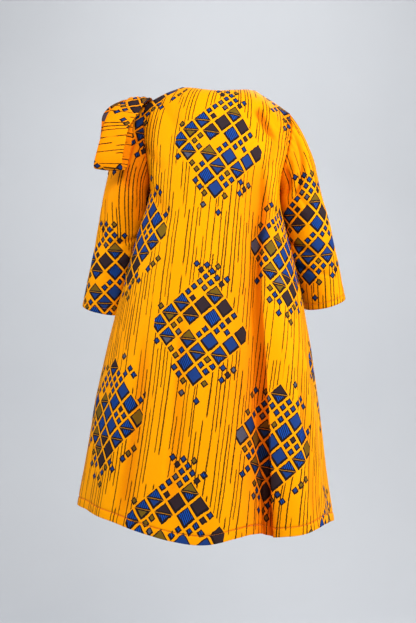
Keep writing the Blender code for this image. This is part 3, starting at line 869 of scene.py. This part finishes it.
def lozenge_print(w, uv):
    """A generic wax print: half-drop medallions of lozenges and triangles on broken pinstripes."""
    wobble = w.noise(uv, 190.0, 1.0)
    wobble = w.times(w.minus(wobble, 0.5), WOBBLE)
    x, y, _ = w.split(uv)
    x = w.plus(x, wobble)
    y = w.minus(y, wobble)
    half = REPEAT[0] / 2.0
    column = w.math("FLOOR", w.plus(w.math("DIVIDE", x, half), 0.5))
    odd = w.math("FLOORED_MODULO", column, 2.0)
    local_x = w.minus(x, w.times(column, half))
    dropped = w.plus(y, w.times(odd, REPEAT[1] / 2.0))
    row = w.math("FLOOR", w.plus(w.math("DIVIDE", dropped, REPEAT[1]), 0.5))
    local_y = w.minus(dropped, w.times(row, REPEAT[1]))

    wide, tall = LOZENGE
    spacing = wide * tall / math.hypot(wide, tall)
    across = w.math("DIVIDE", local_x, wide)
    along = w.math("DIVIDE", local_y, tall)
    a = w.plus(w.plus(across, along), 0.5)
    b = w.plus(w.minus(across, along), 0.5)
    tile_a = w.math("FLOOR", a)
    tile_b = w.math("FLOOR", b)
    part_a = w.math("FRACT", a)
    part_b = w.math("FRACT", b)
    twice_a = w.times(a, 2.0)
    twice_b = w.times(b, 2.0)
    small_a = w.math("FLOOR", twice_a)
    small_b = w.math("FLOOR", twice_b)

    def chance(one, two, seed):
        one = w.plus(one, 3.7 * seed)
        two = w.plus(two, 1.9 * seed)
        return w.chance(one, two, w.plus(odd, seed))

    def edge(one, two, step, heavy):
        """Distance to the nearest side of a lozenge, with its lower sides drawn heavier."""
        low_one = w.minus(w.times(w.math("FRACT", one), step), heavy)
        high_one = w.times(w.minus(1.0, w.math("FRACT", one)), step)
        low_two = w.times(w.math("FRACT", two), step)
        high_two = w.times(w.minus(1.0, w.math("FRACT", two)), step)
        high_two = w.minus(high_two, heavy)
        return w.math("MINIMUM", w.math("MINIMUM", low_one, high_one), w.math("MINIMUM", low_two, high_two))

    pick = chance(tile_a, tile_b, 11.3)
    ring = w.math("MAXIMUM", w.math("ABSOLUTE", tile_a), w.math("ABSOLUTE", tile_b))
    core = w.math("LESS_THAN", ring, FULL_RINGS)
    fringe = w.times(w.math("LESS_THAN", ring, LOOSE_RINGS), w.minus(1.0, core))
    is_small = w.math("MAXIMUM", fringe, w.math("LESS_THAN", pick, CUT_IN_FOUR))
    is_split = w.times(w.minus(1.0, is_small), w.math("LESS_THAN", pick, CUT_AT_ALL))
    upper = w.math("GREATER_THAN", part_a, part_b)
    fold = w.times(w.math("ABSOLUTE", w.minus(part_a, part_b)), spacing * DIAGONAL)

    large_edge = edge(a, b, spacing, 0.0)
    split_edge = w.math("MINIMUM", large_edge, w.plus(fold, SPLIT_LINE))
    small_edge = edge(twice_a, twice_b, spacing / 2.0, 0.0)
    heavy_large = edge(a, b, spacing, HEAVY_SIDE)
    heavy_split = w.math("MINIMUM", heavy_large, w.plus(fold, SPLIT_HEAVY))
    heavy_small = edge(twice_a, twice_b, spacing / 2.0, HEAVY_SIDE_SMALL)
    other_half = w.times(w.times(upper, is_split), 0.5)
    shade_large = chance(w.plus(tile_a, other_half), tile_b, 5.5)
    shade_small = chance(small_a, small_b, 9.1)
    core_small = w.times(core, w.math("LESS_THAN", chance(small_a, small_b, 6.3), FULL_SHOWN))
    fringe_small = w.times(fringe, w.math("LESS_THAN", chance(small_a, small_b, 2.6), LOOSE_SHOWN))
    shown_small = w.math("MAXIMUM", core_small, fringe_small)

    def choose(large, split, small):
        first = w.plus(w.times(split, is_split), w.times(small, is_small))
        rest = w.minus(w.minus(1.0, is_split), is_small)
        return w.plus(first, w.times(large, rest))

    shown = choose(core, core, shown_small)
    rim = choose(large_edge, split_edge, small_edge)
    heavy = choose(heavy_large, heavy_split, heavy_small)
    line = w.times(shown, w.range(rim, *LINE_START))
    fill = w.times(shown, w.range(heavy, *FILL_START))
    shade = choose(shade_large, shade_large, shade_small)

    ramp = w.put("ShaderNodeValToRGB")
    ramp.color_ramp.interpolation = "CONSTANT"
    while len(ramp.color_ramp.elements) < len(FILLS):
        ramp.color_ramp.elements.new(0.5)
    for element, (place, colour) in zip(ramp.color_ramp.elements, FILLS):
        element.position = place
        element.color = colour
    w.feed(ramp.inputs[0], shade)
    colour = ramp.outputs[0]
    hatched = w.times(w.math("GREATER_THAN", shade, NAVY_FROM), w.math("LESS_THAN", shade, SLATE_FROM))
    bars = w.math("FRACT", w.times(w.plus(x, w.times(y, 0.55)), 215.0))
    bars = w.range(w.math("ABSOLUTE", w.minus(bars, 0.5)), 0.22, 0.30)
    colour = w.blend(w.times(hatched, bars), colour, HATCH)
    slate = w.times(w.math("GREATER_THAN", shade, SLATE_FROM), w.math("LESS_THAN", shade, BLACK_FROM))
    dots_across = w.math("SINE", w.times(x, 2400.0))
    dots_along = w.math("SINE", w.times(y, 2400.0))
    dots = w.range(w.times(dots_across, dots_along), 0.1, 0.6)
    dots = w.times(dots, w.times(slate, 0.55))
    colour = w.blend(dots, colour, OUTLINE)

    sway = w.times(w.noise(uv, 9.0, 1.0), 0.004)
    lane = w.math("DIVIDE", w.plus(x, sway), STRIPE_PITCH)
    lane_at = w.math("FLOOR", lane)
    jitter = w.times(w.minus(w.chance(lane_at, 3.0, 1.0), 0.5), 0.60)
    off = w.math("ABSOLUTE", w.minus(w.minus(w.math("FRACT", lane), 0.5), jitter))
    off = w.times(off, STRIPE_PITCH)
    stretch = w.join(w.times(lane_at, 7.31), w.times(y, 6.5), 0.0)
    present = w.range(w.noise(stretch, 1.0, 0.0), 0.425, 0.440)
    thin = w.range(w.chance(lane_at, 8.0, 4.0), 0.0, 1.0, *STRIPE_HALF)
    stripe = w.range(w.minus(off, thin), -0.0002, 0.0003, 1.0, 0.0)
    stripe = w.times(w.times(stripe, present), w.minus(1.0, core))

    cloudy = w.noise(uv, 4.0, 2.0)
    ground = w.blend(w.range(cloudy, 0.35, 0.75), GROUND, GROUND_DEEP)
    ground = w.blend(w.times(stripe, 0.95), ground, STRIPE)
    colour = w.blend(fill, OUTLINE, colour)
    return w.blend(line, ground, colour)


def cotton():
    """Printed cotton: the print, a plain weave, a faint slub, the painted shade of its folds and a low
    sheen.
    """
    material, w, shader = new_material("wax_print_cotton")
    uv = w.put("ShaderNodeUVMap", uv_map="cut").outputs[0]
    colour = lozenge_print(w, uv)
    x, y, _ = w.split(uv)
    warp = w.math("SINE", w.times(x, 2 * math.pi / WARP_PITCH))
    weft = w.math("SINE", w.times(y, 2 * math.pi / WEFT_PITCH))
    weave = w.times(warp, weft)
    slub_across = w.noise(w.join(w.times(x, 90.0), w.times(y, 1400.0)), 1.0, 1.0)
    slub_along = w.noise(w.join(w.times(x, 1400.0), w.times(y, 90.0)), 1.0, 1.0)
    slub = w.times(w.plus(slub_across, slub_along), 0.5)
    colour = w.blend(w.range(slub, 0.35, 0.65, 0.0, 0.10), colour, linear(255, 205, 120), "MULTIPLY")
    # painted shade: the shade attribute darkens the cloth's colour towards a deep orange in creases, seams,
    # the hem groove and on the bow
    deep = w.put("ShaderNodeAttribute", attribute_name="shade").outputs["Fac"]
    colour = w.blend(deep, colour, PAINTED_SHADE_COLOUR, "MULTIPLY")
    w.feed(shader.inputs["Base Color"], colour)
    w.feed(shader.inputs["Roughness"], w.range(slub, 0.3, 0.7, 0.60, 0.74))
    shader.inputs["Specular IOR Level"].default_value = 0.07
    shader.inputs["Specular Tint"].default_value = (1.0, 0.72, 0.34, 1.0)
    w.bump(shader, 0.35, 0.00012, w.plus(w.times(weave, 0.35), slub))
    return material


def thread_material():
    material, w, shader = new_material("sewing_thread")
    place = w.put("ShaderNodeTexCoord").outputs["Object"]
    twist = w.noise(place, 2600.0, 1.0)
    # a brown-orange darker than the cloth: partly the thread's own colour, partly painted shade of the
    # stitch groove it lies in
    w.feed(shader.inputs["Base Color"], w.blend(twist, linear(176, 92, 10), linear(206, 120, 20)))
    shader.inputs["Roughness"].default_value = 0.55
    w.bump(shader, 0.4, 0.0001, twist)
    return material


def stitches(name, line, normals, material, closed=False):
    """A row of thread stitches laid on a line of points."""
    if closed:
        line = np.concatenate([line, line[:1]])
        normals = np.concatenate([normals, normals[:1]])
    far = np.concatenate([[0.0], np.cumsum(np.linalg.norm(np.diff(line, axis=0), axis=1))])
    points = []
    faces = []
    at = 0.0005
    while at + STITCH < far[-1]:
        ends = []
        for s in (at, at + STITCH * 0.5, at + STITCH):
            p = np.array([np.interp(s, far, line[:, k]) for k in range(3)])
            n = unit(np.array([np.interp(s, far, normals[:, k]) for k in range(3)]))
            ends.append((p, n))
        way = unit(ends[2][0] - ends[0][0])
        base = len(points)
        for (p, n), high, thick in zip(ends, (-0.00005, 0.00028, -0.00005), (0.7, 1.0, 0.7)):
            side = np.cross(way, n)
            for k in range(6):
                turn = 2 * math.pi * k / 6
                up = high + STITCH_HALF * thick * math.sin(turn)
                points.append(p + n * up + side * STITCH_HALF * thick * math.cos(turn))
        for i in range(2):
            for k in range(6):
                a = base + i * 6 + k
                b = base + i * 6 + (k + 1) % 6
                faces.append((a, b, b + 6, a + 6))
        faces.append(tuple(base + k for k in range(5, -1, -1)))
        faces.append(tuple(base + 12 + k for k in range(6)))
        at += STITCH + STITCH_GAP
    obj = add_mesh(name, [tuple(p) for p in points], faces, material)
    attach(obj, "root")
    return obj


def row_at(grid, normal, rows, depth):
    """The line across a grid that lies a given depth up from its last row, and its outward directions."""
    line = []
    facing = []
    for c in range(grid.shape[1]):
        from_end = rows[-1, c] - rows[:, c]
        k = np.interp(depth, from_end[::-1], np.arange(len(rows))[::-1])
        low = int(math.floor(k))
        high = min(low + 1, len(rows) - 1)
        line.append(grid[low, c] * (1 - k + low) + grid[high, c] * (k - low))
        facing.append(normal[low, c])
    return np.array(line), np.array(facing)


def paired_normals(back, front):
    """Outward directions of both body pieces, shared along their side seams."""
    back_normal = grid_normals(back, 1.0)
    front_normal = grid_normals(front, -1.0)
    for column in (0, -1):
        shared = unit(back_normal[:, column] + front_normal[:, column])
        back_normal[:, column] = shared
        front_normal[:, column] = shared
    return back_normal, front_normal


def build_body(material, thread):
    """The two body pieces with their stitches and areas, and the armholes that the sleeves start from."""
    back = body_grid(BACK_TOP, True)
    front = body_grid(FRONT_TOP, False)
    back_normal, front_normal = paired_normals(back, front)
    loops = []
    for side, column in ((1, -1), (-1, 0)):
        loop = np.concatenate([back[:UPPER_ROWS, column], front[UPPER_ROWS:0:-1, column]])
        normal = np.concatenate([back_normal[:UPPER_ROWS, column], front_normal[UPPER_ROWS:0:-1, column]])
        loops.append((side, loop, normal))

    back = spaced(back, True)
    front = spaced(front, False)
    back_normal, front_normal = paired_normals(back, front)
    made = []
    for node, grid, normal, to_back, place in (
        ("back", back, back_normal, True, BACK_PRINT),
        ("front", front, front_normal, False, FRONT_PRINT),
    ):
        folded, shade = body_folds(grid, normal, to_back)
        uv = flat_cut(grid, grid.shape[1] // 2) + taken_up(grid, folded)
        uv = placed(uv if to_back else uv * np.array([-1.0, 1.0]), *place)
        folded = seam_dip(folded, normal, 0.0007)
        lengths = row_lengths(grid)
        folded, painted_groove_shade = hem_turn(folded, normal, lengths, BODY_HEM)
        obj = cloth_object(node + "_cloth", folded, uv, False, not to_back, material, shade=shade + painted_groove_shade)
        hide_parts(node)
        made.append((obj, cut_area(uv)))
        line, facing = row_at(folded, normal, lengths, BODY_HEM)
        stitches(node + "_hem_stitching", line, facing, thread)
    return loops, made


def cut_area(uv):
    """The area of a flat cut, from the diagonals of its cells."""
    one = uv[1:, 1:] - uv[:-1, :-1]
    two = uv[:-1, 1:] - uv[1:, :-1]
    return float(np.abs((one[..., 0] * two[..., 1] - one[..., 1] * two[..., 0]) / 2.0).sum())


def build_sleeve(side, loop, loop_normal, material, thread):
    """One sleeve with its stitches, and the area of its flat cut."""
    word, table, folds, place, _ = SLEEVES[side]
    grid, angle = sleeve_grid(side, loop, loop_normal, table)
    normal = grid_normals(grid, -side, True)
    turn = np.radians(angle)[None, :]
    lengths = row_lengths(grid)
    share = lengths / lengths[-1:]
    total = lengths.mean(axis=1)[-1]
    push = np.zeros(share.shape)
    for height, size, seed, moved in SLEEVE_RIPPLES:
        push += height * ripple(grid, size, seed + side * moved)

    around = SLEEVE_ROUND * angle[None, :] / 360.0
    down = share.mean(axis=1)[:, None] * total
    made = np.zeros(share.shape)
    for angle0, share0, angle1, share1, width, stand in folds:
        ends = (SLEEVE_ROUND * angle0 / 360.0, share0 * total, SLEEVE_ROUND * angle1 / 360.0, share1 * total)
        for shift in (-SLEEVE_ROUND, 0.0, SLEEVE_ROUND):
            made += fold_at(around + shift, down, *ends, width, stand)
    push += made

    inner = clamp(-np.cos(turn)) ** 1.5
    push += (0.0078 if side > 0 else 0.0068) * inner**2 * bell(share - 0.15, 0.14)
    ease = np.exp(-lengths / 0.012) * (1.0 - np.exp(-lengths / 0.0015))
    held = clamp(np.cos(turn) + 0.5)
    gathers = np.sin(turn * GATHERS_ROUND + 1.2 * np.sin(turn * 5.0))
    push += GATHER * ease * held * gathers
    push *= clamp(lengths / 0.006)
    push -= 0.0009 * bell(lengths, 0.0024)
    folded, painted_groove_shade = hem_turn(grid + normal * push[..., None], normal, lengths, SLEEVE_HEM)

    # painted shade: in the folds, on the inner side, at the armhole seam and in its gathers; on the right
    # sleeve also at the back of its cap and low on its inner side, on the left one over its upper back,
    # under the bow
    shade = hollow(made) + 0.75 * inner * bell(share, 0.50)
    wrinkled = 0.5 + 0.5 * gathers
    shade += 0.7 * bell(lengths, 0.0035) + 0.5 * held * wrinkled * np.exp(-lengths / 0.012)
    if side > 0:
        shade += 0.5 * np.exp(-(((angle[None, :] - 118.0) / 42.0) ** 2) - (share / 0.16) ** 2)
        cuff = clamp((share - 0.55) / 0.25)
        shade += 0.40 * cuff * bell(angle[None, :] - 140.0, 34.0)
    else:
        behind = clamp(np.sin(turn))
        shade += 0.65 * behind * bell(share, 0.40)
    shade += painted_groove_shade

    uv = placed(sleeve_cut(grid) * np.array([-side, 1.0]), *place)
    order = np.roll(np.arange(grid.shape[1]), -(grid.shape[1] // 2))
    name = word + "_sleeve_cloth"
    obj = cloth_object(name, folded[:, order], uv, True, side > 0, material, shade=shade[:, order])
    node = "sleeve_" + word
    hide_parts(node)
    line, facing = row_at(folded, normal, lengths, SLEEVE_HEM)
    stitches(node + "_hem_stitching", line, facing, thread, closed=True)
    return obj, cut_area(uv)


def build_bow(material):
    """The bow's band as a flat tube of doubled cloth, gathered at both ends, and its length and width."""
    along = np.linspace(0.0, 1.0, BOW_STEPS + 1)
    read = smooth(BOW, along)
    share = np.linspace(0.0, BOW_REACH, BOW_ACROSS + 1)[None, :, None]
    grid = read[:, None, :3] * (1.0 - share) + read[:, None, 3:] * share
    normal = grid_normals(grid, 1.0)
    share = np.linspace(0.0, 1.0, BOW_ACROSS + 1)[None, :]
    ends = np.exp(-along / 0.09) + np.exp(-(1.0 - along) / 0.09)
    pleats = 0.0030 * ends[:, None] * np.cos(share * 2 * math.pi * 3.0 + 0.6)
    wave = 0.0016 * ripple(grid, (0.05, 0.05, 0.05), 7.7) + 0.0006 * ripple(grid, (0.018, 0.018, 0.018), 2.2)
    crown = 0.0012 * np.sin(math.pi * share)
    centre = grid - normal * 0.0015 + normal * (wave + pleats + crown - 0.0006)[..., None]
    half_wall = BOW_HALF_WALL * np.sqrt(clamp(1.0 - (2.0 * share - 1.0) ** 12)) + 0.00005
    outer = centre + normal * half_wall[..., None]
    inner = centre - normal * half_wall[..., None]
    tube = np.concatenate([outer, inner[:, ::-1]], axis=1)
    lengths = row_lengths(grid)[:, BOW_ACROSS // 2]
    width = np.linalg.norm(grid[:, -1] - grid[:, 0], axis=-1)
    v = np.broadcast_to(lengths[:, None], (BOW_STEPS + 1, tube.shape[1] + 1))
    u = np.broadcast_to(np.concatenate([share[0], 1.0 + share[0], [2.0]]) * BOW_BAND, v.shape)
    uv = placed(np.stack([v, u], -1), *BOW_PRINT)
    # painted shade over the whole band, more at its edges, on the half that turns back under and at its
    # start by the knot
    under = clamp((along - 0.50) / 0.08)[:, None]
    edge = np.exp(-np.abs(np.concatenate([share, share[:, ::-1]], axis=1)) / 0.10)
    shade = 0.30 + 0.22 * edge + 0.35 * under + 0.35 * np.exp(-along / 0.05)[:, None]
    obj = cloth_object("bow_band", tube, uv, True, False, material, wall=0.0, shade=shade)
    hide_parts("bow_loop")
    return obj, float(lengths[-1]), float(width.mean())


def build_knot(material):
    """The knot: a short band wrapped round the bow's gathered ends, with pleats along it."""
    turn = np.linspace(0.0, 2 * math.pi, KNOT_COLUMNS, endpoint=False)[None, :]
    t = np.linspace(-1.0, 1.0, KNOT_ROWS + 1)[:, None]
    bulge = (1.0 - np.abs(t) ** 2.6 * 0.42) + 0.0 * turn
    pleat = 1.0 + 0.030 * np.cos(5.0 * math.pi * t + 0.5 * np.sin(2 * turn)) + 0.02 * np.cos(3 * turn + 1.0)
    x = KNOT_RADII[0] * bulge * pleat * np.cos(turn) * 0.96
    y = KNOT_RADII[1] * bulge * pleat * np.sin(turn) * 0.96
    z = KNOT_RADII[2] * 0.86 * t + 0.0 * turn
    grid = np.stack([KNOT_AT[0] + x, KNOT_AT[1] + y, KNOT_AT[2] + z], -1)[::-1]
    around = np.linspace(0.0, KNOT_FLAT[1], KNOT_COLUMNS + 1)[None, :] + 0.0 * t
    down = KNOT_FLAT[0] * (t + 1.0) / 2.0 + 0.0 * around
    uv = placed(np.stack([around, down], -1), *KNOT_PRINT)
    obj = cloth_object("bow_knot_wrap", grid, uv, True, False, material, wall=0.0012)
    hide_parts("bow_knot")
    return obj


def paper_material():
    material, w, shader = new_material("studio_paper")
    place = w.put("ShaderNodeTexCoord").outputs["Object"]
    grain = w.range(w.noise(place, 3.0, 2.0), 0.3, 0.7, 0.0, 0.04)
    colour = w.blend(grain, linear(220, 223, 228), (1.0, 1.0, 1.0, 1.0))
    w.feed(shader.inputs["Base Color"], colour)
    shader.inputs["Roughness"].default_value = 0.9
    return material


def build_stage():
    """A pale studio floor that sweeps up behind into the wall."""
    profile = list(FLOOR)
    for k in range(1, 13):
        turn = math.radians(90.0 * k / 12)
        y = SWEEP_MIDDLE[0] + SWEEP_RADIUS * math.sin(turn)
        profile.append((y, SWEEP_MIDDLE[1] - SWEEP_RADIUS * math.cos(turn)))
    profile.append(WALL_TOP)
    points = [(x, y, z) for x in (-7.0, 7.0) for y, z in profile]
    count = len(profile)
    faces = [(k, k + count, k + count + 1, k + 1) for k in range(count - 1)]
    add_mesh("studio_sweep", points, faces, paper_material())


def area_light(name, place, aim, size, watts, colour):
    light = bpy.data.lights.new(name, "AREA")
    light.shape = "DISK"
    light.size = size
    light.energy = watts
    light.color = colour
    obj = bpy.data.objects.new(name, light)
    obj.location = place
    obj.rotation_euler = (Vector(aim) - Vector(place)).to_track_quat("-Z", "Y").to_euler()
    bpy.context.scene.collection.objects.link(obj)


def build_lights_and_camera():
    scene = bpy.context.scene
    world = bpy.data.worlds.new("studio")
    scene.world = world
    world.use_nodes = True
    background = world.node_tree.nodes["Background"]
    background.inputs["Color"].default_value = (0.96, 0.98, 1.0, 1.0)
    background.inputs["Strength"].default_value = 0.20
    for name, light in LIGHTS.items():
        area_light(name, *light)
    scene.view_settings.view_transform = "Standard"
    scene.view_settings.look = "None"
    camera = bpy.data.cameras.new("camera")
    camera.sensor_width = SENSOR
    camera.sensor_fit = "AUTO"
    camera.lens = FOCAL_PIXELS * SENSOR / PICTURE_HEIGHT
    obj = bpy.data.objects.new("camera", camera)
    obj.location = (-0.024, -2.3, -0.534)
    obj.rotation_euler = (math.radians(90.0), 0.0, 0.0)
    scene.collection.objects.link(obj)
    scene.camera = obj


def main():
    material = cotton()
    thread = thread_material()
    loops, bodies = build_body(material, thread)
    for side, loop, normal in loops:
        obj, area = build_sleeve(side, loop, normal, material, thread)
    band, long, wide = build_bow(material)
    knot = build_knot(material)
    build_stage()
    build_lights_and_camera()


main()
